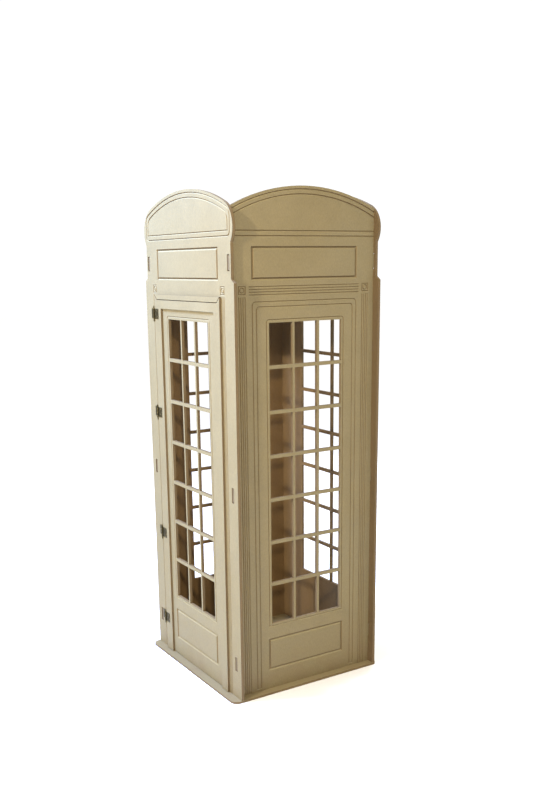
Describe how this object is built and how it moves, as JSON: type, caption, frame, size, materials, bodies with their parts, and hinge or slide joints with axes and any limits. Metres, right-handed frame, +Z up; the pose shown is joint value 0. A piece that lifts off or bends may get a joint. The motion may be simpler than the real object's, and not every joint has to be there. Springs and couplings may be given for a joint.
{
  "type": "telephone booth",
  "caption": "Flat-pack telephone booth in routed board: slotted walls with domed heads, open glazing-bar windows and a hinged door on one side.",
  "frame": {"origin": "on the floor, at the centre of the rectangle the four walls stand on", "axes": "+Z up; the front wall faces -Y; the door side faces -X and its door is hinged at the back"},
  "size_m": [0.725, 0.756, 2.009],
  "materials": {
    "mdf_board": "raw routed fibreboard",
    "hinge_metal": "dark antique bronze",
    "screw_metal": "dark antique bronze"
  },
  "bodies": {
    "booth": {"base_plate": "mdf_board", "front_panel": "mdf_board", "back_panel": "mdf_board", "right_panel": "mdf_board", "left_panel": "mdf_board", "header_strip": "mdf_board", "ceiling_panel": "mdf_board", "hinge_1_frame_leaf": "hinge_metal", "hinge_1_pin": "hinge_metal", "hinge_2_frame_leaf": "hinge_metal", "hinge_2_pin": "hinge_metal", "hinge_3_frame_leaf": "hinge_metal", "hinge_3_pin": "hinge_metal", "hinge_4_frame_leaf": "hinge_metal", "hinge_4_pin": "hinge_metal", "frame_screws": "screw_metal"},
    "door": {"door_leaf": "mdf_board", "door_face_frame": "mdf_board", "hinge_1_door_leaf": "hinge_metal", "hinge_2_door_leaf": "hinge_metal", "hinge_3_door_leaf": "hinge_metal", "hinge_4_door_leaf": "hinge_metal", "door_screws": "screw_metal"}
  },
  "joints": [
    {"name": "door_hinge", "type": "hinge", "parent": "booth", "child": "door", "pos_m": [-0.3528, 0.2805, 0.8], "axis": [0, 0, -1], "range_deg": [0, 110]}
  ]
}
